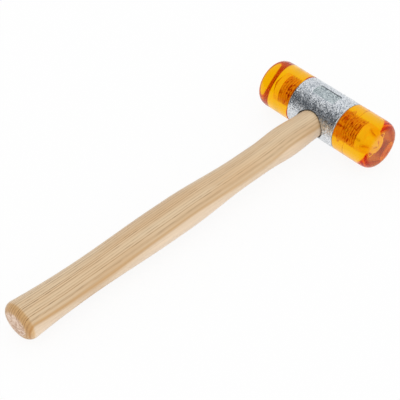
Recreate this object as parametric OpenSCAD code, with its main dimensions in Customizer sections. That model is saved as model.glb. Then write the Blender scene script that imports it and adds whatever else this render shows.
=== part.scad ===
// Soft face hammer, lying on its side. A plated cast housing carries two screw-on
// striking faces of clear amber plastic, and an oval ash handle that two wedges hold.
// The head's axis lies along X, the handle runs towards -Y, and the cheek with the
// sunk panel looks up along Z. The origin is on the ground, below the middle of the
// hammer's length.

/* [Housing] */
// Diameter of the housing and of both striking faces
head_d = 32; // [28:1:44]
// Length of the housing along the head's axis
housing_len = 38; // [30:0.5:60]
// Bevel around each end of the housing
rim_bevel = 0.5; // [0.2:0.1:1.5]
// Length of the sunk panel on the upper cheek
panel_len = 17.5; // [8:0.5:30]
// Width of the sunk panel, along the handle
panel_w = 8.8; // [4:0.2:14]
// Depth of the sunk panel below the crown of the cheek
panel_depth = 1.3; // [0.4:0.1:2]
// Radius of the sunk panel's corners
panel_corner = 0.8; // [0.3:0.1:1.8]

/* [Eye] */
// Width of the eye along the head's axis, at its narrow middle
eye_w = 18.9; // [14:0.1:22]
// Height of the eye across the cheeks, at its narrow middle
eye_h = 17; // [11:0.1:20]
// How much wider the eye is at the mouth that the handle enters
eye_lead = 1.5; // [0.6:0.1:2.4]
// How much wider the eye is at the far mouth, where the wedges spread the tenon
eye_flare = 1.4; // [0.4:0.1:2.4]
// Bevel around both mouths of the eye
eye_bevel = 0.7; // [0.2:0.1:1.2]
// Clearance between the tenon and the wall of the eye
eye_fit = 0.05; // [0.02:0.01:0.2]
// Gap left around the handle at the mouth that it enters
mouth_gap = 0.45; // [0.1:0.05:0.6]

/* [Striking faces] */
// Length of each face, from its seat on the housing to its striking end
face_len = 27; // [20:0.5:40]
// Length of the soft edge that leads to the striking end
face_edge_len = 7; // [2:0.25:10]
// Depth of that edge at the striking end
face_edge_depth = 5; // [1:0.25:8]
// Wall left between the drilled hole and the striking end
face_wall = 6.4; // [4:0.1:10]
// Bevel around the seat of each face
seat_bevel = 0.4; // [0.2:0.1:1.2]

/* [Studs] */
// Outside diameter of the studs' thread
stud_d = 12; // [8:0.5:14]
// Pitch of the thread
thread_pitch = 1.75; // [1:0.25:2]
// How far each stud stands out of the housing
stud_out = 9.5; // [6:0.5:14]
// Web of metal between the end of each stud and the eye
eye_web = 1.35; // [0.8:0.05:3]
// Radial running clearance around the studs
thread_fit = 0.05; // [0.02:0.01:0.1]

/* [Handle] */
// Length of the whole hammer, from the far side of the head to the butt
hammer_len = 266; // [230:1:330]
// Width of the swell below the head, measured along the head's axis
swell_w = 21.4; // [18:0.1:25]
// Width of the slim neck
neck_w = 19.3; // [17:0.1:23]
// Width of the belly of the grip
belly_w = 23.6; // [20:0.1:30]
// Width of the waist below the belly
waist_w = 21.8; // [18:0.1:27]
// Width of the flared butt
butt_w = 25.8; // [21:0.1:31]
// Bevel around the butt
butt_bevel = 3; // [1:0.1:4]
// How far the end of the tenon stays below the crown of the head
tenon_inset = 0.3; // [0.1:0.1:2]

/* [Wedges] */
// Thickness of the wooden wedge at its wide end
wedge_t = 3.2; // [2:0.1:5]
// Thickness of the wooden wedge at its tip
wedge_tip = 0.8; // [0.4:0.1:1.6]
// Depth to which the wooden wedge is driven
wedge_len = 22; // [14:0.5:27]
// Outside diameter of the ring wedge
ring_d = 10; // [7:0.25:12]
// Wall of the ring wedge at its wide end
ring_t = 1.4; // [0.8:0.1:2]
// Wall of the ring wedge at its cutting edge
ring_edge = 0.4; // [0.2:0.1:0.7]
// Depth to which the ring wedge is driven
ring_len = 8; // [5:0.5:12]

/* [Hidden] */
$fn = 96;
// Overrun that carries each cut clear of the surface that it opens
overrun = 1;

// Derived places
head_r = head_d / 2;
head_y = hammer_len / 2 - head_r;
butt_y = -hammer_len / 2;
stud_r = stud_d / 2;
stud_seat = (housing_len - eye_w) / 2 - eye_web;
stud_len = stud_seat + stud_out;
crown_r = head_r - tenon_inset;
ring_top = sqrt(pow(crown_r, 2) - pow(ring_d / 2, 2));

// Thread proportions: the depth of a metric thread, and the height of a drill point over its radius
thread_depth_share = 0.61;
drill_point_share = 0.6;
thread_depth = thread_pitch * thread_depth_share;

// The eye and the handle keep one ratio of thickness to width
oval_share = eye_h / eye_w;

// Stations of the grip, as shares of its length from the eye's mouth to the butt
swell_share = 0.095;
neck_start_share = 0.19;
neck_end_share = 0.255;
belly_start_share = 0.49;
belly_end_share = 0.55;
waist_share = 0.785;

// Resolution of the handle's loft and of the faces' soft edge
grip_rings = 42;
ring_sides = 40;
edge_steps = 10;

// Points what is drawn along Z out of the head, to the front (1) or to the rear (-1)
module out_of_head(side) {
    translate([0, head_y, head_r])
        rotate([0, side * 90, 0])
            children();
}

// Points what is drawn along Z from the head's centre up through the eye, away from the butt
module up_the_eye() {
    translate([0, head_y, head_r])
        rotate([-90, 0, 0])
            children();
}

// A threaded hole as a plain bore, open at z = 0 and bevelled there, with its drill point
module tapped_hole(depth, point) {
    bore_r = stud_r + thread_fit;
    rotate_extrude()
        polygon([
            [0, -depth],
            [bore_r, -depth + point],
            [bore_r, -thread_depth],
            [bore_r + thread_depth, 0],
            [bore_r + thread_depth, overrun],
            [0, overrun],
        ]);
}

// The oval space of the eye, narrow in the middle and flared to both mouths.
// With a clearance it is the plug that fills the eye, without the mouths' bevels.
module eye_space(clearance, bevel) {
    middle_r = eye_w / 2 - clearance;
    lead_r = middle_r + eye_lead / 2;
    flare_r = middle_r + eye_flare / 2;
    squash = (eye_h / 2 - clearance) / middle_r;
    up_the_eye()
        scale([1, squash, 1])
            rotate_extrude()
                polygon([
                    [0, -head_r - overrun],
                    [lead_r + bevel, -head_r - overrun],
                    [lead_r + bevel, -head_r],
                    [lead_r, -head_r + bevel],
                    [middle_r, 0],
                    [flare_r, head_r - bevel],
                    [flare_r + bevel, head_r],
                    [flare_r + bevel, head_r + overrun],
                    [0, head_r + overrun],
                ]);
}

// Outline with round corners, from squares and circles
module round_cornered(size, corner) {
    inner = [size.x - 2 * corner, size.y - 2 * corner];
    square([size.x, inner.y], center = true);
    square([inner.x, size.y], center = true);
    for (x = [-1, 1], y = [-1, 1])
        translate([x * inner.x / 2, y * inner.y / 2])
            circle(corner);
}

module panel_space() {
    translate([0, head_y, head_d - panel_depth])
        linear_extrude(panel_depth + overrun)
            round_cornered([panel_len, panel_w], panel_corner);
}

module head_housing() {
    half = housing_len / 2;
    color("#B7BBBC")
        difference() {
            out_of_head(1)
                rotate_extrude()
                    polygon([
                        [0, -half],
                        [head_r - rim_bevel, -half],
                        [head_r, -half + rim_bevel],
                        [head_r, half - rim_bevel],
                        [head_r - rim_bevel, half],
                        [0, half],
                    ]);
            for (side = [-1, 1])
                out_of_head(side)
                    translate([0, 0, half])
                        tapped_hole(stud_seat, 0);
            eye_space(0, eye_bevel);
            panel_space();
        }
}

// One striking face, drilled from its seat for the stud
module striking_face(side) {
    hole_depth = face_len - face_wall;
    point = (stud_r + thread_fit) * drill_point_share;
    soft_edge = [
        for (i = [0 : edge_steps])
            let (t = i / edge_steps)
                [head_r - face_edge_depth * t * t, face_len - face_edge_len * (1 - t) * (1 - t)]
    ];
    color("#EE9A12")
        out_of_head(side)
            translate([0, 0, housing_len / 2])
                difference() {
                    rotate_extrude()
                        polygon([
                            [0, 0],
                            [head_r - seat_bevel, 0],
                            [head_r, seat_bevel],
                            each soft_edge,
                            [0, face_len],
                        ]);
                    mirror([0, 0, 1])
                        tapped_hole(hole_depth, point);
                }
}

module front_face() {
    striking_face(1);
}

module rear_face() {
    striking_face(-1);
}

// One stud, bevelled at both ends down to the root of its thread
module stud(side) {
    root_r = stud_r - thread_depth;
    color("#8F9396")
        out_of_head(side)
            translate([0, 0, housing_len / 2 - stud_seat])
                rotate_extrude()
                    polygon([
                        [0, 0],
                        [root_r, 0],
                        [stud_r, thread_depth],
                        [stud_r, stud_len - thread_depth],
                        [root_r, stud_len],
                        [0, stud_len],
                    ]);
}

module front_stud() {
    stud(1);
}

module rear_stud() {
    stud(-1);
}

// Soft step from 0 to 1
function ease(t) = (1 - cos(180 * t)) / 2;

// Value between a and b at the share u of the stretch from share u0 to share u1
function stretch(a, b, u0, u1, u) = a + (b - a) * ease((u - u0) / (u1 - u0));

// Width of the handle where it enters the eye
mouth_w = eye_w + eye_lead - 2 * mouth_gap;

// Width of the grip at the share u of its length, from the eye's mouth to the butt
function grip_w(u) =
    u < swell_share ? stretch(mouth_w, swell_w, 0, swell_share, u) :
    u < neck_start_share ? stretch(swell_w, neck_w, swell_share, neck_start_share, u) :
    u < neck_end_share ? neck_w :
    u < belly_start_share ? stretch(neck_w, belly_w, neck_end_share, belly_start_share, u) :
    u < belly_end_share ? belly_w :
    u < waist_share ? stretch(belly_w, waist_w, belly_end_share, waist_share, u) :
    waist_w + (butt_w - waist_w) * pow((u - waist_share) / (1 - waist_share), 2);

// One ring of the loft: an oval of the given width and height
function oval_ring(y, w, h) = [
    for (i = [0 : ring_sides - 1])
        let (a = 360 * i / ring_sides)
            [w / 2 * cos(a), y, head_r + h / 2 * sin(a)]
];

// The handle's loft, from the bevelled butt to the end of the tenon
module handle_loft() {
    mouth_y = head_y - head_r;
    bevel_y = butt_y + butt_bevel;
    grip_len = mouth_y - bevel_y;
    butt_end_w = butt_w - 2 * butt_bevel;
    butt_end_h = butt_w * oval_share - 2 * butt_bevel;
    middle_w = eye_w - 2 * eye_fit;
    middle_h = eye_h - 2 * eye_fit;
    flare = eye_flare * crown_r / head_r;
    rings = [
        oval_ring(butt_y, butt_end_w, butt_end_h),
        for (i = [0 : grip_rings])
            let (u = 1 - i / grip_rings)
                oval_ring(mouth_y - u * grip_len, grip_w(u), grip_w(u) * oval_share),
        oval_ring(head_y, middle_w, middle_h),
        oval_ring(head_y + crown_r, middle_w + flare, middle_h + flare * oval_share),
    ];
    last = len(rings) - 1;
    points = [for (ring = rings) each ring];
    walls = [
        for (r = [0 : last - 1], i = [0 : ring_sides - 1])
            let (a = r * ring_sides + i, b = r * ring_sides + (i + 1) % ring_sides)
                each [[a, b, b + ring_sides], [a, b + ring_sides, a + ring_sides]]
    ];
    butt_cap = [for (i = [ring_sides - 1 : -1 : 0]) i];
    tenon_cap = [for (i = [0 : ring_sides - 1]) last * ring_sides + i];
    polyhedron(points, concat(walls, [butt_cap, tenon_cap]));
}

// What lies beyond the head's round at the eye's far mouth, from the end of the tenon on
module beyond_crown() {
    reach = head_r + overrun;
    out_of_head(1)
        linear_extrude(housing_len, center = true)
            difference() {
                translate([-reach, 0])
                    square([2 * reach, reach]);
                circle(crown_r);
            }
}

// The tapering kerf across the tenon, as deep as the wooden wedge is driven
module kerf_space() {
    up_the_eye()
        rotate([90, 0, 90])
            linear_extrude(eye_w + eye_flare + 2 * overrun, center = true)
                polygon([
                    [-wedge_tip / 2, crown_r - wedge_len],
                    [wedge_tip / 2, crown_r - wedge_len],
                    [wedge_t / 2, crown_r],
                    [wedge_t / 2, crown_r + overrun],
                    [-wedge_t / 2, crown_r + overrun],
                    [-wedge_t / 2, crown_r],
                ]);
}

// The ring wedge's own shape, with its cutting edge down, and the cut that it leaves above itself
module ring_space(above) {
    ring_r = ring_d / 2;
    up_the_eye()
        rotate_extrude()
            polygon([
                [ring_r - ring_t, ring_top + above],
                [ring_r - ring_t, ring_top],
                [ring_r - ring_edge, ring_top - ring_len],
                [ring_r, ring_top - ring_len],
                [ring_r, ring_top + above],
            ]);
}

module handle() {
    color("#D8BC90")
        difference() {
            handle_loft();
            kerf_space();
            ring_space(head_r - ring_top);
            beyond_crown();
        }
}

module wooden_wedge() {
    color("#B98F5C")
        difference() {
            intersection() {
                eye_space(eye_fit, 0);
                kerf_space();
            }
            ring_space(head_r - ring_top);
            beyond_crown();
        }
}

module ring_wedge() {
    color("#84888B")
        ring_space(0);
}

head_housing();
front_face();
rear_face();
front_stud();
rear_stud();
handle();
wooden_wedge();
ring_wedge();
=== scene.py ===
from math import asin, cos, pi, radians, sin

import bmesh
import bpy
import numpy as np
from mathutils import Matrix, Vector, noise


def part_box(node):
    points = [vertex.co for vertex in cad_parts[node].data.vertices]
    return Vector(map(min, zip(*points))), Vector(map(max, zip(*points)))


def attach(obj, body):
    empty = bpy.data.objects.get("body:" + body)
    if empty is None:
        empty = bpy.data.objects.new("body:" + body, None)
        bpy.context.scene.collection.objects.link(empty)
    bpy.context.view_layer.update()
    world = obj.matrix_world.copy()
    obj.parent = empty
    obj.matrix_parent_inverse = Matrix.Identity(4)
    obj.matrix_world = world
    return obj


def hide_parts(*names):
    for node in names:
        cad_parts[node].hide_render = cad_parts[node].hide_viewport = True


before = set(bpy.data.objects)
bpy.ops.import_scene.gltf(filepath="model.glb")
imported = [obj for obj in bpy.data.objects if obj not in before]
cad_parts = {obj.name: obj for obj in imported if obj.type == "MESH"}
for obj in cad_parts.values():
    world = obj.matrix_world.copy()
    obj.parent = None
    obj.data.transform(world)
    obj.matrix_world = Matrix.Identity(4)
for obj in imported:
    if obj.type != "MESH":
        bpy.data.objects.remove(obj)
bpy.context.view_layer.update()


# Head housing: a round sleeve of malleable iron, sand cast with its eye and its sunk panel, then
# faced and tapped at both ends and zinc plated. The handle is wedged in its eye, and the striking
# faces seat on its turned ends.
MM = 0.001
housing_low, housing_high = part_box("head_housing")
head_centre = (housing_low + housing_high) / 2
head_r = (housing_high.z - housing_low.z) / 2
housing_half = (housing_high.x - housing_low.x) / 2

skin_voxel = 0.24 * MM
edge_softening = 3
sand_grain = 1.1 * MM
sand_depth = 0.035 * MM
pit_grain = 3.2 * MM
pit_depth = 0.05 * MM
turned_margin = 0.9 * MM
turned_share = 0.4
panel_reach = 9.4 * MM
panel_depths = (0.15 * MM, 0.5 * MM)
oval_share = 17 / 18.9
eye_mouth_r = 10.2 * MM
eye_bevel = 0.7 * MM
rim_bevel = 0.5 * MM


def linear(colour):
    """sRGB hex colour as linear RGBA"""
    values = [int(colour[i:i + 2], 16) / 255 for i in (1, 3, 5)]
    return [v / 12.92 if v <= 0.04045 else ((v + 0.055) / 1.055) ** 2.4 for v in values] + [1.0]


def add(tree, kind, settings=None, links=None):
    """Adds a shader node: lower-case settings are its options, the others and the links its sockets"""
    node = tree.nodes.new("ShaderNode" + kind)
    for key, value in (settings or {}).items():
        if isinstance(key, str) and key.islower():
            setattr(node, key, value)
        else:
            node.inputs[key].default_value = value
    for key, source in (links or {}).items():
        tree.links.new(source, node.inputs[key])
    return node


def set_stops(ramp, stops):
    """Gives a colour ramp its stops: (position, sRGB hex colour or grey level)"""
    shades = [(at, linear(shade) if isinstance(shade, str) else (shade, shade, shade, 1))
              for at, shade in stops]
    elements = ramp.color_ramp.elements
    for element, (at, shade) in zip(elements, (shades[0], shades[-1])):
        element.position = at
        element.color = shade
    for at, shade in shades[1:-1]:
        elements.new(at).color = shade


def blank_material(name):
    """A material without nodes, and its node tree"""
    material = bpy.data.materials.new(name)
    material.use_nodes = True
    tree = material.node_tree
    tree.nodes.clear()
    return material, tree


def place(name, mesh, material):
    """Puts a mesh into the scene as a named piece with its material"""
    piece = bpy.data.objects.new(name, mesh)
    bpy.context.scene.collection.objects.link(piece)
    mesh.materials.clear()
    mesh.materials.append(material)
    return piece


def evaluated(piece):
    """The piece's mesh with its modifiers applied"""
    graph = bpy.context.evaluated_depsgraph_get()
    return bpy.data.meshes.new_from_object(piece.evaluated_get(graph))


# Bright zinc on a sandy casting: a cold white metal whose grains lean each its own way and catch the
# light one by one. It is pale where it mirrors the lit room, and dark with bright sparks where it
# mirrors the card. The grains are drawn at 0.6 mm, about twice the real size, which wouldn't show.
# Painted shade darkens the sunk panel, the more the deeper it lies, and the eye's mouth and a thin line
# along the seats, where the parts meet.
facet_tilt = 0.34
zinc, tree = blank_material("zinc_plated_sand_casting")
spot = add(tree, "TexCoord").outputs["Object"]
grains = add(tree, "TexVoronoi", {"Scale": 1 / (0.62 * MM)}, {"Vector": spot})
grain_tone = add(tree, "SeparateColor", {}, {"Color": grains.outputs["Color"]})
sand = add(tree, "TexNoise", {"Scale": 1 / (0.8 * MM), "Detail": 3.0, "Roughness": 0.6},
           {"Vector": spot})
stains = add(tree, "TexNoise", {"Scale": 1 / (9 * MM), "Detail": 4.0}, {"Vector": spot})
speckle = add(tree, "Math", {"operation": "MULTIPLY_ADD", 1: 0.5},
              {0: grain_tone.outputs["Red"], 2: sand.outputs["Fac"]})
tone = add(tree, "ValToRGB", {}, {"Fac": speckle.outputs["Value"]})
set_stops(tone, [(0.38, "#98A1A9"), (0.8, "#FDFEFF")])
dulled = add(tree, "Mix", {"data_type": "RGBA", "blend_type": "MULTIPLY", 7: linear("#E4E8EC")},
             {0: stains.outputs["Fac"], 6: tone.outputs["Color"]})
from_axis = add(tree, "VectorMath", {"operation": "SUBTRACT", 1: head_centre}, {0: spot})
along_axis = add(tree, "SeparateXYZ", {}, {"Vector": from_axis.outputs["Vector"]})
from_middle = add(tree, "Math", {"operation": "ABSOLUTE"}, {0: along_axis.outputs["X"]})
off_axis = add(tree, "VectorMath", {"operation": "MULTIPLY", 1: (0, 1, 1)},
               {0: from_axis.outputs["Vector"]})
radius = add(tree, "VectorMath", {"operation": "LENGTH"}, {0: off_axis.outputs["Vector"]})
# Painted shade: the sunk panel's floor is drawn darker the deeper it lies below the surface.
sunk = add(tree, "MapRange",
           {"From Min": head_r - panel_depths[0], "From Max": head_r - panel_depths[1]},
           {"Value": radius.outputs["Value"]})
by_panel = add(tree, "Math", {"operation": "LESS_THAN", 1: panel_reach},
               {0: from_middle.outputs["Value"]})
in_panel = add(tree, "Math", {"operation": "MULTIPLY"},
               {0: sunk.outputs["Result"], 1: by_panel.outputs["Value"]})
panel_shaded = add(tree, "Mix", {"data_type": "RGBA", "blend_type": "MULTIPLY", 7: linear("#E2E8E6")},
             {0: in_panel.outputs["Value"], 6: dulled.outputs[2]})
round_eye = add(tree, "VectorMath", {"operation": "MULTIPLY", 1: (1, 0, 1 / oval_share)},
                {0: from_axis.outputs["Vector"]})
from_eye = add(tree, "VectorMath", {"operation": "LENGTH"}, {0: round_eye.outputs["Vector"]})
# Painted shade where parts meet: in the eye's mouth round the handle, and a thin line along each seat.
in_eye = add(tree, "MapRange",
             {"From Min": eye_mouth_r + eye_bevel, "From Max": eye_mouth_r + eye_bevel / 3},
             {"Value": from_eye.outputs["Value"]})
at_seat = add(tree, "MapRange",
              {"From Min": housing_half - rim_bevel, "From Max": housing_half - rim_bevel / 3,
               "To Min": 0.0, "To Max": 0.6}, {"Value": from_middle.outputs["Value"]})
on_rim = add(tree, "Math", {"operation": "GREATER_THAN", 1: head_r - 2 * rim_bevel},
             {0: radius.outputs["Value"]})
seat_line = add(tree, "Math", {"operation": "MULTIPLY"},
                {0: at_seat.outputs["Result"], 1: on_rim.outputs["Value"]})
in_crevice = add(tree, "Math", {"operation": "MAXIMUM"},
                 {0: in_eye.outputs["Result"], 1: seat_line.outputs["Value"]})
crevice_shaded = add(tree, "Mix", {"data_type": "RGBA", "blend_type": "MULTIPLY", 7: linear("#6A655E")},
             {0: in_crevice.outputs["Value"], 6: panel_shaded.outputs[2]})
gloss = add(tree, "MapRange", {"To Min": 0.2, "To Max": 0.46}, {"Value": grain_tone.outputs["Green"]})
relief = add(tree, "Bump", {"Strength": 0.8, "Distance": 0.12 * MM},
             {"Height": speckle.outputs["Value"]})
centred = add(tree, "VectorMath", {"operation": "SUBTRACT", 1: (0.5, 0.5, 0.5)},
              {0: grains.outputs["Color"]})
tipped = add(tree, "VectorMath", {"operation": "MULTIPLY_ADD", 1: [facet_tilt] * 3},
             {0: centred.outputs["Vector"], 2: relief.outputs["Normal"]})
facet = add(tree, "VectorMath", {"operation": "NORMALIZE"}, {0: tipped.outputs["Vector"]})
surface = add(tree, "BsdfPrincipled", {"Metallic": 1.0},
              {"Base Color": crevice_shaded.outputs[2], "Roughness": gloss.outputs["Result"],
               "Normal": facet.outputs["Vector"]})
add(tree, "OutputMaterial", {}, {"Surface": surface.outputs["BSDF"]})

housing = place("cast_housing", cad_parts["head_housing"].data.copy(), zinc)
remesh = housing.modifiers.new("even_skin", "REMESH")
remesh.mode = "VOXEL"
remesh.voxel_size = skin_voxel
soften = housing.modifiers.new("soft_edges", "SMOOTH")
soften.iterations = edge_softening
housing.data = evaluated(housing)
housing.modifiers.clear()
skin = [(corner.co.copy(), corner.normal.copy()) for corner in housing.data.vertices]
for corner, (spot, outward) in zip(housing.data.vertices, skin):
    cast = min(max((housing_half - abs(spot.x)) / turned_margin - turned_share, 0.0), 1.0)
    swell = sand_depth * noise.noise(spot / sand_grain) + pit_depth * noise.noise(spot / pit_grain)
    corner.co = spot + outward * swell * cast
housing.data.shade_smooth()
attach(housing, "hammer_body")
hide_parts("head_housing")


# Handle: ash, turned oval on a copying lathe with a swell below the head, a slim neck, a belly, a waist
# and a flared butt, then sanded and waxed. Its tenon is sawn with a kerf, driven into the eye and
# spread there by wedges.
handle_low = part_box("handle")[0]
mouth_w = 19.5 * MM
swell_w = 21.4 * MM
neck_w = 19.3 * MM
belly_w = 23.6 * MM
waist_w = 21.8 * MM
butt_w = 25.8 * MM
butt_bevel = 3 * MM
butt_profile = [(0, 11 * MM), (0, 5.2 * MM), (1.3 * MM, 2 * MM), (4.2 * MM, 0), (9 * MM, 0)]
butt_softness = [1.2 * MM, 1.3 * MM, 1.6 * MM]
tenon_middle_w = 18.8 * MM
tenon_end_w = 20.2 * MM
crown_r = head_r - 0.3 * MM
stations = [0, 0.095, 0.19, 0.255, 0.49, 0.55, 0.785]
mouth_y = head_centre.y - head_r
bevel_y = handle_low.y + butt_bevel
grip_len = mouth_y - bevel_y

oval_sides = 128
grip_rings = 160
tenon_rings = [(i / 4, 1.0) for i in range(1, 5)]
crown_rings = [(1.0, 1 - 0.15 * i) for i in range(1, 7)]


def ease(t):
    """Soft step from 0 to 1"""
    return (1 - cos(pi * t)) / 2


def grip_width(share):
    """Width of the grip at a share of its length from the eye's mouth to the butt"""
    widths = [mouth_w, swell_w, neck_w, neck_w, belly_w, belly_w, waist_w]
    for start, end, w0, w1 in zip(stations, stations[1:], widths, widths[1:]):
        if share <= end:
            return w0 + (w1 - w0) * ease((share - start) / (end - start))
    flare = (share - stations[-1]) / (1 - stations[-1])
    return waist_w + (butt_w - waist_w) * flare ** 2


def rounded(path, cuts, steps=6):
    """A path of points whose inner corners are cut back and replaced by curves"""
    points = [Vector(p) for p in path]
    smooth = [points[0]]
    for before, corner, after, cut in zip(points, points[1:], points[2:], cuts):
        start = corner + (before - corner).normalized() * cut
        end = corner + (after - corner).normalized() * cut
        for i in range(steps + 1):
            t = i / steps
            smooth.append(start.lerp(corner, t).lerp(corner.lerp(end, t), t))
    smooth.append(points[-1])
    return smooth


def closed_mesh(name, points, faces):
    """A closed mesh whose faces all look outward"""
    mesh = bpy.data.meshes.new(name)
    mesh.from_pydata(points, [], faces)
    shell = bmesh.new()
    shell.from_mesh(mesh)
    bmesh.ops.recalc_face_normals(shell, faces=shell.faces)
    shell.to_mesh(mesh)
    shell.free()
    return mesh


def skinned(name, rings, crease=40):
    """A closed mesh over a row of rings of points, with a pole at each end"""
    rings = np.asarray(rings)
    count, sides = rings.shape[:2]
    points = list(rings.reshape(-1, 3)) + [rings[0].mean(0), rings[-1].mean(0)]
    last = (count - 1) * sides
    faces = []
    for i in range(sides):
        j = (i + 1) % sides
        faces += [(r * sides + i, r * sides + j, r * sides + sides + j, r * sides + sides + i)
                  for r in range(count - 1)]
        faces += [(j, i, count * sides), (last + i, last + j, count * sides + 1)]
    mesh = closed_mesh(name, [tuple(p) for p in points], faces)
    mesh.shade_smooth()
    mesh.set_sharp_from_angle(angle=radians(crease))
    return mesh


def oval_ring(y, half_w, half_h):
    """One ring of the handle's loft"""
    turn = np.arange(oval_sides) * 2 * pi / oval_sides
    return np.stack([half_w * np.cos(turn), np.full(oval_sides, y),
                     head_centre.z + half_h * np.sin(turn)], -1)


loft = []
for along, inset in rounded(butt_profile, butt_softness):
    width = grip_width(1 - max(along - butt_bevel, 0) / grip_len)
    loft.append(oval_ring(handle_low.y + along, width / 2 - inset, width * oval_share / 2 - inset))
rest_of_grip = (butt_profile[-1][0] - butt_bevel) / grip_len
for share in np.linspace(1 - rest_of_grip, 0, grip_rings)[1:]:
    width = grip_width(share)
    loft.append(oval_ring(mouth_y - share * grip_len, width / 2, width * oval_share / 2))
loft.append(oval_ring(head_centre.y, tenon_middle_w / 2, tenon_middle_w * oval_share / 2))
for rise, spread in tenon_rings + crown_rings:
    width = (tenon_middle_w + (tenon_end_w - tenon_middle_w) * rise) * spread
    ring = oval_ring(0, width / 2, width * oval_share / 2)
    ring[:, 1] = head_centre.y + rise * np.sqrt(crown_r ** 2 - (ring[:, 2] - head_centre.z) ** 2)
    loft.append(ring)

# Ash, sanded and waxed: pale cream late wood between thin tan lines of early wood, whose open pores are
# short dark dashes along the grain, drawn about twice as wide as real ones so that they show. Beyond
# one broad year, at broad_year mm from the pith, the wood has hardly any lines and is paler, partly its
# own plain colour and partly painted light on that side, and a tan streak runs along that edge.
# Burnished on the butt's edge, the wood is browner, and cut across, pink.
ring_spacing = 1.6
broad_year = 101.4
pith = Vector((-90, 0, 32))
grain_slope = radians(-0.76)
sway_reach = 2.0
weather_size = 4.0
weather_reach = 1.6
tuft_size = 3.4
ash, tree = blank_material("sanded_waxed_ash")
coords = add(tree, "TexCoord")
log = add(tree, "Mapping", {"Location": -pith, "Rotation": (0, 0, grain_slope), "Scale": [1 / MM] * 3},
          {"Vector": coords.outputs["Object"]})
grain = {}
for name, size, detail in (("sway", (24, 110, 24), 2.0), ("pores", (0.5, 9, 0.5), 1.0),
                           ("streaks", (1.1, 60, 1.1), 3.0), ("clouds", (8, 90, 8), 2.0)):
    stretched = add(tree, "VectorMath", {"operation": "MULTIPLY", 1: [1 / mm for mm in size]},
                    {0: log.outputs["Vector"]})
    grain[name] = add(tree, "TexNoise", {"Scale": 1.0, "Detail": detail},
                      {"Vector": stretched.outputs["Vector"]})
swayed = add(tree, "VectorMath", {"operation": "MULTIPLY_ADD", 1: (sway_reach, 0, sway_reach)},
             {0: grain["sway"].outputs["Color"], 2: log.outputs["Vector"]})
across = add(tree, "VectorMath", {"operation": "MULTIPLY", 1: (1, 0, 1)},
             {0: swayed.outputs["Vector"]})
from_pith = add(tree, "VectorMath", {"operation": "LENGTH"}, {0: across.outputs["Vector"]})
weather_at = add(tree, "Math", {"operation": "DIVIDE", 1: weather_size},
                 {0: from_pith.outputs["Value"]})
weather = add(tree, "TexNoise", {"noise_dimensions": "1D", "Scale": 1.0, "Detail": 1.0},
              {"W": weather_at.outputs["Value"]})
even_years = add(tree, "Math", {"operation": "DIVIDE", 1: ring_spacing},
                 {0: from_pith.outputs["Value"]})
years = add(tree, "Math", {"operation": "MULTIPLY_ADD", 1: weather_reach},
            {0: weather.outputs["Fac"], 2: even_years.outputs["Value"]})
season = add(tree, "Math", {"operation": "FRACT"}, {0: years.outputs["Value"]})
year = add(tree, "Math", {"operation": "FLOOR"}, {0: years.outputs["Value"]})
year_tone = add(tree, "TexWhiteNoise", {"noise_dimensions": "1D"}, {"W": year.outputs["Value"]})
early = add(tree, "ValToRGB", {}, {"Fac": season.outputs["Value"]})
set_stops(early, [(0.0, 0.5), (0.07, 1.0), (0.22, 0.75), (0.4, 0.15), (0.6, 0.0), (0.94, 0.0),
                  (1.0, 0.4)])
strength = add(tree, "MapRange", {"To Min": 0.35, "To Max": 1.0},
               {"Value": year_tone.outputs["Value"]})
lined = add(tree, "Math", {"operation": "MULTIPLY"},
            {0: early.outputs["Color"], 1: strength.outputs["Result"]})
narrow_years = add(tree, "MapRange", {"From Min": broad_year - 1.5, "From Max": broad_year + 0.2,
                                      "To Min": 1.0, "To Max": 0.12},
                   {"Value": from_pith.outputs["Value"]})
inner_years = add(tree, "Math", {"operation": "MULTIPLY"},
                  {0: lined.outputs["Value"], 1: narrow_years.outputs["Result"]})
place_in_log = add(tree, "SeparateXYZ", {}, {"Vector": log.outputs["Vector"]})
cleaner = add(tree, "MapRange", {"From Min": -125.0, "From Max": 30.0, "To Min": 1.15, "To Max": 0.6},
              {"Value": place_in_log.outputs["Y"]})
early_wood = add(tree, "Math", {"operation": "MULTIPLY"},
                 {0: inner_years.outputs["Value"], 1: cleaner.outputs["Result"]})
past_edge = add(tree, "Math", {"operation": "SUBTRACT", 1: broad_year},
                {0: from_pith.outputs["Value"]})
edge_band = add(tree, "Math", {"operation": "ABSOLUTE"}, {0: past_edge.outputs["Value"]})
edge_streak = add(tree, "MapRange", {"From Min": 0.1, "From Max": 0.75, "To Min": 0.8, "To Max": 0.0},
                  {"Value": edge_band.outputs["Value"]})
fading_streak = add(tree, "Math", {"operation": "MULTIPLY"},
                    {0: edge_streak.outputs["Result"], 1: cleaner.outputs["Result"]})
# Partly painted light: beyond the broad year the wood is drawn paler than its own plain colour.
plain_and_lit_side = add(tree, "MapRange", {"From Min": 0.0, "From Max": 1.2},
               {"Value": past_edge.outputs["Value"]})
open_pore = add(tree, "MapRange", {"From Min": 0.5, "From Max": 0.64},
                {"Value": grain["pores"].outputs["Fac"]})
pore = add(tree, "Math", {"operation": "MULTIPLY"},
           {0: open_pore.outputs["Result"], 1: early_wood.outputs["Value"]})
warmth = add(tree, "MapRange", {"From Min": 0.35, "From Max": 0.65},
             {"Value": grain["clouds"].outputs["Fac"]})
pale = add(tree, "Mix", {"data_type": "RGBA", 6: linear("#E4CAA5"), 7: linear("#DAB88D")},
           {0: warmth.outputs["Result"]})
plain_wood_and_light = add(tree, "Mix", {"data_type": "RGBA", 7: linear("#F1D8BA")},
          {0: plain_and_lit_side.outputs["Result"], 6: pale.outputs[2]})
streaked = add(tree, "Mix", {"data_type": "RGBA", 7: linear("#CDA069")},
               {0: fading_streak.outputs["Value"], 6: plain_wood_and_light.outputs[2]})
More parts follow.
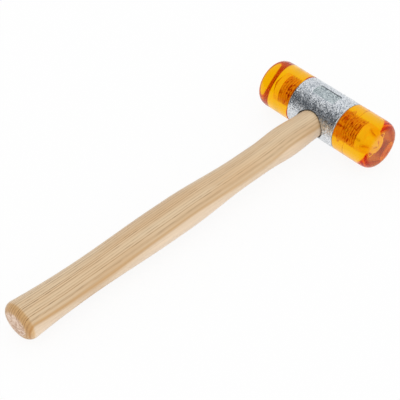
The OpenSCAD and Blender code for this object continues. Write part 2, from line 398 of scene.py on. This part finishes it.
ringed = add(tree, "Mix", {"data_type": "RGBA", 7: linear("#B88F63")},
             {0: early_wood.outputs["Value"], 6: streaked.outputs[2]})
pored = add(tree, "Mix", {"data_type": "RGBA", 7: linear("#94714D")},
            {0: pore.outputs["Value"], 6: ringed.outputs[2]})
streak_tone = add(tree, "MapRange", {"From Min": 0.3, "From Max": 0.7, "To Min": 0.93, "To Max": 1.05},
                  {"Value": grain["streaks"].outputs["Fac"]})
side_wood = add(tree, "VectorMath", {"operation": "SCALE"},
                {0: pored.outputs[2], "Scale": streak_tone.outputs["Result"]})
facing = add(tree, "SeparateXYZ", {}, {"Vector": coords.outputs["Normal"]})
turned_away = add(tree, "Math", {"operation": "ABSOLUTE"}, {0: facing.outputs["Y"]})
burnish = add(tree, "ValToRGB", {}, {"Fac": turned_away.outputs["Value"]})
set_stops(burnish, [(0.2, "#FFFFFF"), (0.45, "#F3E1C0"), (0.92, "#E9D0A8"), (0.99, "#FFFFFF")])
burnished = add(tree, "Mix", {"data_type": "RGBA", "blend_type": "MULTIPLY", 0: 1.0},
                {6: side_wood.outputs["Vector"], 7: burnish.outputs["Color"]})
cut_across = add(tree, "MapRange", {"From Min": 0.93, "From Max": 0.99, "To Min": 0.0, "To Max": 0.75},
                 {"Value": turned_away.outputs["Value"]})
tufts = add(tree, "TexNoise", {"Scale": 1 / tuft_size, "Detail": 2.0, "Distortion": 2.0},
            {"Vector": log.outputs["Vector"]})
tuft_share = add(tree, "MapRange", {"From Min": 0.38, "From Max": 0.6}, {"Value": tufts.outputs["Fac"]})
end_grain = add(tree, "Mix", {"data_type": "RGBA", 6: linear("#B4815E"), 7: linear("#F2D6C2")},
                {0: tuft_share.outputs["Result"]})
end_tint = add(tree, "Mix", {"data_type": "RGBA"},
               {0: cut_across.outputs["Result"], 6: burnished.outputs[2], 7: end_grain.outputs[2]})
worn = add(tree, "MapRange", {"To Min": 0.36, "To Max": 0.52},
           {"Value": grain["streaks"].outputs["Fac"]})
height = add(tree, "Math", {"operation": "MULTIPLY_ADD", 1: -1.5},
             {0: pore.outputs["Value"], 2: grain["streaks"].outputs["Fac"]})
relief = add(tree, "Bump", {"Strength": 0.5, "Distance": 0.06 * MM},
             {"Height": height.outputs["Value"]})
surface = add(tree, "BsdfPrincipled", {"Sheen Weight": 0.3, "Sheen Roughness": 0.4},
              {"Base Color": end_tint.outputs[2], "Roughness": worn.outputs["Result"],
               "Normal": relief.outputs["Normal"]})
add(tree, "OutputMaterial", {}, {"Surface": surface.outputs["BSDF"]})


def carved(piece, cutter):
    """Cuts the shape of a mesh out of a piece"""
    tool = bpy.data.objects.new("cutter", cutter)
    bpy.context.scene.collection.objects.link(tool)
    cut = piece.modifiers.new("cut", "BOOLEAN")
    cut.object = tool
    cut.solver = "EXACT"
    mesh = evaluated(piece)
    piece.modifiers.clear()
    piece.data = mesh
    bpy.data.objects.remove(tool)


def turned_about_eye(name, outline, sides=96):
    """A closed mesh turned about the eye's axis, from (radius, height above the head's axis) points"""
    round_turn = np.arange(sides) * 2 * pi / sides
    points = [(head_centre.x + r * cos(a), head_centre.y + h, head_centre.z + r * sin(a))
              for r, h in outline for a in round_turn]
    faces = []
    for k in range(len(outline)):
        n = (k + 1) % len(outline)
        faces += [(k * sides + i, k * sides + (i + 1) % sides, n * sides + (i + 1) % sides, n * sides + i)
                  for i in range(sides)]
    return closed_mesh(name, points, faces)


wedge_t = 3.2 * MM
wedge_tip = 0.8 * MM
wedge_len = 22 * MM
wedge_gap = 0.06 * MM
ring_r = 5 * MM
ring_t = 1.4 * MM
ring_edge = 0.4 * MM
ring_len = 8 * MM
ring_gap = 0.05 * MM
ring_top = (crown_r ** 2 - ring_r ** 2) ** 0.5
cut_top = crown_r + 2 * MM

handle = place("ash_handle", skinned("ash_handle", loft), ash)
tip_half = wedge_tip / 2 + wedge_gap
kerf_half = wedge_t / 2 + wedge_gap
kerf_foot = crown_r - wedge_len
section = [(-tip_half, kerf_foot), (tip_half, kerf_foot), (kerf_half, crown_r), (kerf_half, cut_top),
           (-kerf_half, cut_top), (-kerf_half, crown_r)]
count = len(section)
kerf = bpy.data.meshes.new("kerf")
kerf.from_pydata([(head_centre.x + x, head_centre.y + h, head_centre.z + z)
                  for x in (-tenon_end_w, tenon_end_w) for z, h in section], [],
                 [tuple(range(count)), tuple(range(2 * count - 1, count - 1, -1))]
                 + [(i, count + i, count + (i + 1) % count, (i + 1) % count) for i in range(count)])
carved(handle, kerf)
ring_seat = [(ring_r - ring_t - ring_gap, cut_top), (ring_r - ring_t - ring_gap, ring_top),
             (ring_r - ring_edge - ring_gap, ring_top - ring_len),
             (ring_r + ring_gap, ring_top - ring_len), (ring_r + ring_gap, cut_top)]
carved(handle, turned_about_eye("ring_cut", ring_seat))
handle.data.shade_smooth()
handle.data.set_sharp_from_angle(angle=radians(40))
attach(handle, "hammer_body")
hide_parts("handle")


# Wooden wedge: a slip of beech, sawn to a taper, driven into the tenon's kerf along the eye's long axis
# and cut off flush. It spreads the tenon against the flare of the eye.

# Sawn beech: a dull red-brown, darker than the ash, with short flecks along the grain.
fleck_size = (0.5 * MM, 6 * MM, 0.3 * MM)
beech, tree = blank_material("sawn_beech_wedge")
coords = add(tree, "TexCoord")
fleck_at = add(tree, "VectorMath", {"operation": "MULTIPLY", 1: [1 / length for length in fleck_size]},
               {0: coords.outputs["Object"]})
flecks = add(tree, "TexNoise", {"Scale": 1.0, "Detail": 3.0}, {"Vector": fleck_at.outputs["Vector"]})
tone = add(tree, "ValToRGB", {}, {"Fac": flecks.outputs["Fac"]})
set_stops(tone, [(0.35, "#8C643C"), (0.62, "#C39A68")])
relief = add(tree, "Bump", {"Strength": 0.5, "Distance": 0.08 * MM}, {"Height": flecks.outputs["Fac"]})
surface = add(tree, "BsdfPrincipled", {"Roughness": 0.65},
              {"Base Color": tone.outputs["Color"], "Normal": relief.outputs["Normal"]})
add(tree, "OutputMaterial", {}, {"Surface": surface.outputs["BSDF"]})
wedge = place("beech_wedge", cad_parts["wooden_wedge"].data.copy(), beech)
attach(wedge, "hammer_body")
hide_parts("wooden_wedge")


# Ring wedge: a short steel tube sharpened at one end, driven across the wooden wedge into the tenon's
# end grain until it lies below the surface.
ring_bevel = 0.2 * MM

# Mild steel that was struck: a dull grey metal with small dents.
struck, tree = blank_material("struck_mild_steel")
spot = add(tree, "TexCoord").outputs["Object"]
dents = add(tree, "TexNoise", {"Scale": 1 / (0.9 * MM), "Detail": 4.0}, {"Vector": spot})
tone = add(tree, "Mix", {"data_type": "RGBA", 6: linear("#6F7275"), 7: linear("#B5B8BA")},
           {0: dents.outputs["Fac"]})
gloss = add(tree, "MapRange", {"To Min": 0.3, "To Max": 0.6}, {"Value": dents.outputs["Fac"]})
relief = add(tree, "Bump", {"Strength": 0.6, "Distance": 0.1 * MM}, {"Height": dents.outputs["Fac"]})
surface = add(tree, "BsdfPrincipled", {"Metallic": 1.0},
              {"Base Color": tone.outputs[2], "Roughness": gloss.outputs["Result"],
               "Normal": relief.outputs["Normal"]})
add(tree, "OutputMaterial", {}, {"Surface": surface.outputs["BSDF"]})
ring_outline = [(ring_r - ring_t, ring_top - ring_bevel), (ring_r - ring_t + ring_bevel, ring_top),
                (ring_r - ring_bevel, ring_top), (ring_r, ring_top - ring_bevel),
                (ring_r, ring_top - ring_len), (ring_r - ring_edge, ring_top - ring_len)]
ring_mesh = turned_about_eye("driven_ring_wedge", ring_outline)
ring_mesh.shade_smooth()
ring_mesh.set_sharp_from_angle(angle=radians(30))
driven_ring = place("driven_ring_wedge", ring_mesh, struck)
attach(driven_ring, "hammer_body")
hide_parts("ring_wedge")


# Studs: lengths of steel rod with a rolled M12 thread, bevelled at both ends. Each is screwed hard
# into the housing, and a striking face screws onto the length that stands out.
stud_low, stud_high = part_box("front_stud")
stud_r = (stud_high.z - stud_low.z) / 2
stud_in = housing_high.x - stud_low.x
stud_out = stud_high.x - housing_high.x
thread_pitch = 1.75 * MM
thread_depth = 0.61 * thread_pitch
crest_share = 0.125
root_share = 0.25
thread_sides = 72
thread_step = 0.14 * MM

turn = np.arange(thread_sides) * 2 * pi / thread_sides


def thread_radius(along):
    """Radius of a right-hand thread all round, at a distance from the housing's end"""
    phase = (along / thread_pitch - turn / (2 * pi)) % 1
    flank = (1 - abs(2 * phase - 1) - root_share) / (1 - root_share - crest_share)
    return stud_r - thread_depth * (1 - np.clip(flank, 0, 1))


def turned_ring(along, radius):
    """One ring about the head's axis, at a distance from the housing's end"""
    radius = np.broadcast_to(radius, turn.shape)
    return np.stack([np.full(turn.shape, along), radius * np.cos(turn), radius * np.sin(turn)], -1)


def out_of_head(mesh, side):
    """Moves what was made at the origin to the front end (1) or the rear end (-1) of the housing"""
    mesh.transform(Matrix.Translation((housing_half, 0, 0)))
    mesh.transform(Matrix.Rotation(0 if side > 0 else pi, 4, "Z"))
    mesh.transform(Matrix.Translation(head_centre))
    return mesh


# Rolled steel, bright from the die: a clean grey metal with light drawn along the flanks.
steel, tree = blank_material("rolled_thread_steel")
spot = add(tree, "TexCoord").outputs["Object"]
scuffs = add(tree, "TexNoise", {"Scale": 1 / (1.5 * MM), "Detail": 4.0}, {"Vector": spot})
tone = add(tree, "Mix", {"data_type": "RGBA", 6: linear("#8F9498"), 7: linear("#C4C8CA")},
           {0: scuffs.outputs["Fac"]})
gloss = add(tree, "MapRange", {"To Min": 0.18, "To Max": 0.42}, {"Value": scuffs.outputs["Fac"]})
surface = add(tree, "BsdfPrincipled", {"Metallic": 1.0},
              {"Base Color": tone.outputs[2], "Roughness": gloss.outputs["Result"]})
add(tree, "OutputMaterial", {}, {"Surface": surface.outputs["BSDF"]})

for side, end in ((1, "front"), (-1, "rear")):
    rings = []
    for along in np.arange(-stud_in, stud_out, thread_step):
        from_end = min(along + stud_in, stud_out - along)
        rings.append(turned_ring(along, np.minimum(thread_radius(along), stud_r - thread_depth + from_end)))
    rings.append(turned_ring(stud_out, stud_r - thread_depth))
    stud = place(end + "_threaded_stud", out_of_head(skinned(end + "_threaded_stud", rings), side), steel)
    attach(stud, end + "_screw")
    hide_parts(end + "_stud")


# Striking faces: plugs of clear amber cellulose acetate, turned to the housing's diameter from
# cast rod with a soft edge at the striking end, drilled and tapped from the seat, and polished.
face_low, face_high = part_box("front_face")
face_len = face_high.x - face_low.x
face_edge_len = 7 * MM
face_edge_depth = 5 * MM
seat_bevel = 0.4 * MM
seat_gap = 0.04 * MM
hole_r = stud_r + 0.05 * MM
end_wall = 6.4 * MM
drill_point = 0.6 * hole_r
hole_depth = face_len - end_wall - drill_point
thread_len = 13 * MM
bore_fit = 0.06 * MM
face_sides = 144
edge_steps = 16
flat_rings = (0.3, 0.5)
point_rings = (0.8, 0.6, 0.4, 0.2, 0.05)

# Cellulose acetate: a clear, slightly soft gloss, yellow where it is thin and orange to dark red
# where the light comes through more of it.
amber, tree = blank_material("polished_amber_acetate")
spot = add(tree, "TexCoord").outputs["Object"]
scuffs = add(tree, "TexNoise", {"Scale": 1 / (2.5 * MM), "Detail": 5.0, "Roughness": 0.7},
             {"Vector": spot})
gloss = add(tree, "MapRange", {"From Min": 0.4, "From Max": 0.8, "To Min": 0.015, "To Max": 0.12},
            {"Value": scuffs.outputs["Fac"]})
surface = add(tree, "BsdfPrincipled",
              {"Base Color": linear("#FFFFFF"), "IOR": 1.48, "Transmission Weight": 1.0,
               "Specular Tint": linear("#FF9000")}, {"Roughness": gloss.outputs["Result"]})
depth = add(tree, "VolumeAbsorption", {"Color": (0.993, 0.886, 0.009, 1), "Density": 212.0})
add(tree, "OutputMaterial", {},
    {"Surface": surface.outputs["BSDF"], "Volume": depth.outputs["Volume"]})

# Turned acetate at the seat: matte amber outside. From within the plug it mirrors at low angles, and
# straight on it shows the grey of the metal that it sits on.
seat_skin, tree = blank_material("turned_amber_seat")
spot = add(tree, "TexCoord").outputs["Object"]
within = add(tree, "NewGeometry").outputs["Backfacing"]
slant = add(tree, "LayerWeight", {"Blend": 0.5})
low_angle = add(tree, "MapRange", {"From Min": 0.2, "From Max": 0.4},
                {"Value": slant.outputs["Facing"]})
gloss = add(tree, "MapRange", {"To Min": 0.22, "To Max": 0.1}, {"Value": low_angle.outputs["Result"]})
mirror = add(tree, "Mix", {"data_type": "RGBA", 6: linear("#D8D4CE"), 7: linear("#FFFAF2")},
             {0: low_angle.outputs["Result"]})
turning = add(tree, "TexNoise", {"Scale": 1 / (0.7 * MM), "Detail": 3.0}, {"Vector": spot})
matte = add(tree, "Mix", {"data_type": "RGBA", 6: linear("#D98414"), 7: linear("#F2AE48")},
            {0: turning.outputs["Fac"]})
tone = add(tree, "Mix", {"data_type": "RGBA"}, {0: within, 6: matte.outputs[2], 7: mirror.outputs[2]})
surface = add(tree, "BsdfPrincipled", {},
              {"Base Color": tone.outputs[2], "Metallic": within, "Roughness": gloss.outputs["Result"]})
add(tree, "OutputMaterial", {}, {"Surface": surface.outputs["BSDF"]})

# Tapped acetate in the hole: torn matte by the tap, a dull orange in the clear plug, with red-brown
# patches where the stud presses on it and the air gap closes.
thread_skin, tree = blank_material("tapped_amber_thread")
spot = add(tree, "TexCoord").outputs["Object"]
tears = add(tree, "TexNoise", {"Scale": 1 / (0.8 * MM), "Detail": 3.0}, {"Vector": spot})
tone = add(tree, "Mix", {"data_type": "RGBA", 6: linear("#FFB880"), 7: linear("#FFE8C8")},
           {0: tears.outputs["Fac"]})
contact = add(tree, "TexNoise", {"Scale": 1 / (3 * MM), "Detail": 3.0, "Distortion": 1.0},
              {"Vector": spot})
pressed = add(tree, "MapRange", {"From Min": 0.54, "From Max": 0.65, "To Min": 0.0, "To Max": 0.9},
              {"Value": contact.outputs["Fac"]})
marked = add(tree, "Mix", {"data_type": "RGBA", 7: linear("#C84E2A")},
             {0: pressed.outputs["Result"], 6: tone.outputs[2]})
within = add(tree, "NewGeometry").outputs["Backfacing"]
surface = add(tree, "BsdfPrincipled", {"Roughness": 0.4},
              {"Base Color": marked.outputs[2], "Metallic": within})
add(tree, "OutputMaterial", {}, {"Surface": surface.outputs["BSDF"]})

# Drilled acetate beyond the thread: ridged round by the drill's lips, so that it shows as a yellow
# window.
ridge_size = (0.4 * MM, 4 * MM, 4 * MM)
drill_skin, tree = blank_material("drilled_amber_hole")
coords = add(tree, "TexCoord")
ridge_at = add(tree, "VectorMath", {"operation": "MULTIPLY", 1: [1 / length for length in ridge_size]},
               {0: coords.outputs["Object"]})
ridges = add(tree, "TexNoise", {"Scale": 1.0, "Detail": 2.0}, {"Vector": ridge_at.outputs["Vector"]})
tone = add(tree, "Mix", {"data_type": "RGBA", 6: linear("#FFBE72"), 7: linear("#FFF2CE")},
           {0: ridges.outputs["Fac"]})
within = add(tree, "NewGeometry").outputs["Backfacing"]
surface = add(tree, "BsdfPrincipled", {"Roughness": 0.24},
              {"Base Color": tone.outputs[2], "Metallic": within})
add(tree, "OutputMaterial", {}, {"Surface": surface.outputs["BSDF"]})

turn = np.arange(face_sides) * 2 * pi / face_sides
for side, end in ((1, "front"), (-1, "rear")):
    outline = [(face_len, share * head_r) for share in flat_rings]
    for i in range(edge_steps + 1):
        t = i / edge_steps
        outline.append((face_len - face_edge_len * t ** 2, head_r - face_edge_depth * (1 - t) ** 2))
    outline += [(seat_bevel, head_r), (seat_gap, head_r - seat_bevel), (seat_gap, stud_r + thread_depth)]
    rings = [turned_ring(*point) for point in outline]
    seat_at = len(rings) - 2
    for along in np.arange(2 * seat_gap, thread_len, thread_step):
        lead_in = stud_r + thread_depth - along
        rings.append(turned_ring(along, np.maximum(thread_radius(along), lead_in) + bore_fit))
    thread_end = len(rings) - 1
    rings += [turned_ring(thread_len + thread_step, hole_r), turned_ring(hole_depth, hole_r)]
    rings += [turned_ring(hole_depth + drill_point * (1 - q), hole_r * q) for q in point_rings]
    face = place(end + "_amber_face", out_of_head(skinned(end + "_amber_face", rings), side), amber)
    face.data.materials.append(seat_skin)
    face.data.materials.append(thread_skin)
    face.data.materials.append(drill_skin)
    bands = [0] * (len(rings) + 1)
    bands[seat_at] = 1
    bands[seat_at + 1:thread_end] = [2] * (thread_end - seat_at - 1)
    bands[thread_end:len(rings) - 1] = [3] * (len(rings) - thread_end - 1)
    bands[-1] = 3
    face.data.polygons.foreach_set("material_index", np.tile(bands, face_sides))
    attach(face, end + "_end")
    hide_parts(end + "_face")


# Floor: a plain pale studio table. The hammer lies on its cheek and on the underside of its butt,
# so the table is tilted to touch both.
floor_size = 6.0
butt_drop = head_centre.z - butt_w * oval_share / 2
floor_tilt = -asin(butt_drop / (head_centre.y - bevel_y))

# White table: what the eye and the mirrors see of it is nearly white, and it keeps the soft shadow.
white_share = 0.9
table, tree = blank_material("white_studio_table")
path = add(tree, "LightPath")
seen = add(tree, "Math", {"operation": "MAXIMUM"},
           {0: path.outputs["Is Camera Ray"], 1: path.outputs["Is Glossy Ray"]})
seen = add(tree, "Math", {"operation": "MAXIMUM"},
           {0: seen.outputs["Value"], 1: path.outputs["Is Transmission Ray"]})
share = add(tree, "Math", {"operation": "MULTIPLY", 1: white_share}, {0: seen.outputs["Value"]})
lit = add(tree, "BsdfDiffuse", {"Color": linear("#FFFFFF")})
glow = add(tree, "Emission", {"Color": linear("#FFFFFF"), "Strength": 1.0})
mixed = add(tree, "MixShader", {},
            {0: share.outputs["Value"], 1: lit.outputs["BSDF"], 2: glow.outputs["Emission"]})
add(tree, "OutputMaterial", {}, {"Surface": mixed.outputs["Shader"]})
half = floor_size / 2
sheet = bpy.data.meshes.new("studio_table")
sheet.from_pydata([(-half, -half, 0), (half, -half, 0), (half, half, 0), (-half, half, 0)], [],
                  [(0, 1, 2, 3)])
floor = place("studio_table", sheet, table)
floor.matrix_world = Matrix.Translation((0, head_centre.y, 0)) @ Matrix.Rotation(floor_tilt, 4, "X")


# Light: an evenly lit white room over the table. A curved card stands in front and to the left, where a
# studio has it to draw a dark band along the metal. Only reflections show it.
room_level = 0.95
card_r = 1.0
card_span = (radians(100), radians(300))
card_height = (0.02, 1.9)
fade_height = 1.2
card_steps = 40
world = bpy.data.worlds.new("soft_studio")
bpy.context.scene.world = world
world.use_nodes = True
tree = world.node_tree
tree.nodes.clear()
path = add(tree, "LightPath")
seen = add(tree, "Math", {"operation": "MAXIMUM"},
           {0: path.outputs["Is Camera Ray"], 1: path.outputs["Is Glossy Ray"]})
seen = add(tree, "Math", {"operation": "MAXIMUM"},
           {0: seen.outputs["Value"], 1: path.outputs["Is Transmission Ray"]})
strength = add(tree, "Math", {"operation": "MAXIMUM", 1: room_level}, {0: seen.outputs["Value"]})
sky = add(tree, "Background", {"Color": linear("#FFFFFF")}, {"Strength": strength.outputs["Value"]})
add(tree, "OutputWorld", {}, {"Surface": sky.outputs["Background"]})

# Felt on the card: nearly white at one end of the arc, darkest past the middle, and paler upward, so
# that the band on the metal has soft edges.
felt, tree = blank_material("dark_felt_card")
spot = add(tree, "TexCoord").outputs["Object"]
at = add(tree, "SeparateXYZ", {}, {"Vector": spot})
bearing = add(tree, "Math", {"operation": "ARCTAN2"}, {0: at.outputs["Y"], 1: at.outputs["X"]})
one_turn_on = add(tree, "Math", {1: 2 * pi}, {0: bearing.outputs["Value"]})
full_bearing = add(tree, "Math", {"operation": "MODULO", 1: 2 * pi}, {0: one_turn_on.outputs["Value"]})
along_arc = add(tree, "MapRange", {"From Min": card_span[0], "From Max": card_span[1]},
                {"Value": full_bearing.outputs["Value"]})
arc_tone = add(tree, "ValToRGB", {}, {"Fac": along_arc.outputs["Result"]})
set_stops(arc_tone, [(0.0, "#F4F6F8"), (0.32, "#BABEC4"), (0.5, "#565A60"), (0.7, "#30343A"),
                     (1.0, "#7A7E84")])
fade = add(tree, "MapRange", {"From Min": fade_height, "From Max": card_height[1],
                              "To Min": 0.0, "To Max": 0.5}, {"Value": at.outputs["Z"]})
faded = add(tree, "Mix", {"data_type": "RGBA", 7: linear("#F4F6F8")},
            {0: fade.outputs["Result"], 6: arc_tone.outputs["Color"]})
cloth = add(tree, "BsdfDiffuse", {}, {"Color": faded.outputs[2]})
add(tree, "OutputMaterial", {}, {"Surface": cloth.outputs["BSDF"]})
arc = [card_span[0] + (card_span[1] - card_span[0]) * i / card_steps for i in range(card_steps + 1)]
points = [(card_r * cos(a), card_r * sin(a), z) for a in arc for z in card_height]
faces = [(2 * i, 2 * i + 1, 2 * i + 3, 2 * i + 2) for i in range(card_steps)]
sheet = bpy.data.meshes.new("dark_card")
sheet.from_pydata(points, [], faces)
card = place("dark_card", sheet, felt)
card.visible_camera = False
card.visible_diffuse = False
card.visible_shadow = False
card.visible_transmission = False


# Camera: the photograph's long lens, looking down along the hammer from the butt's side.
view_azimuth = radians(46.708)
view_height = radians(44.067)
view_roll = radians(-1.041)
view_distance = 851.86 * MM
view_shift = (4.878 * MM, 2.749 * MM)
focal_px = 1445.2
frame_px = 400
sensor_mm = 36.0
back = Vector((sin(view_azimuth) * cos(view_height), -cos(view_azimuth) * cos(view_height),
               sin(view_height)))
level_right = Vector((cos(view_azimuth), sin(view_azimuth), 0))
level_up = back.cross(level_right)
right = level_right * cos(view_roll) + level_up * sin(view_roll)
up = level_up * cos(view_roll) - level_right * sin(view_roll)
lens = bpy.data.cameras.new("photo_view")
lens.sensor_width = sensor_mm
lens.lens = sensor_mm * focal_px / frame_px
camera = bpy.data.objects.new("photo_view", lens)
bpy.context.scene.collection.objects.link(camera)
aim = Vector((0, 0, head_centre.z)) + right * view_shift[0] + up * view_shift[1]
pose = Matrix((right, up, back)).transposed().to_4x4()
camera.matrix_world = Matrix.Translation(aim + back * view_distance) @ pose
bpy.context.scene.camera = camera
bpy.context.scene.view_settings.view_transform = "Standard"

# Light goes round inside the clear faces many times before it comes out.
clear_bounces = 32
path_limits = bpy.context.scene.cycles
path_limits.max_bounces = clear_bounces
path_limits.transmission_bounces = clear_bounces
path_limits.glossy_bounces = clear_bounces
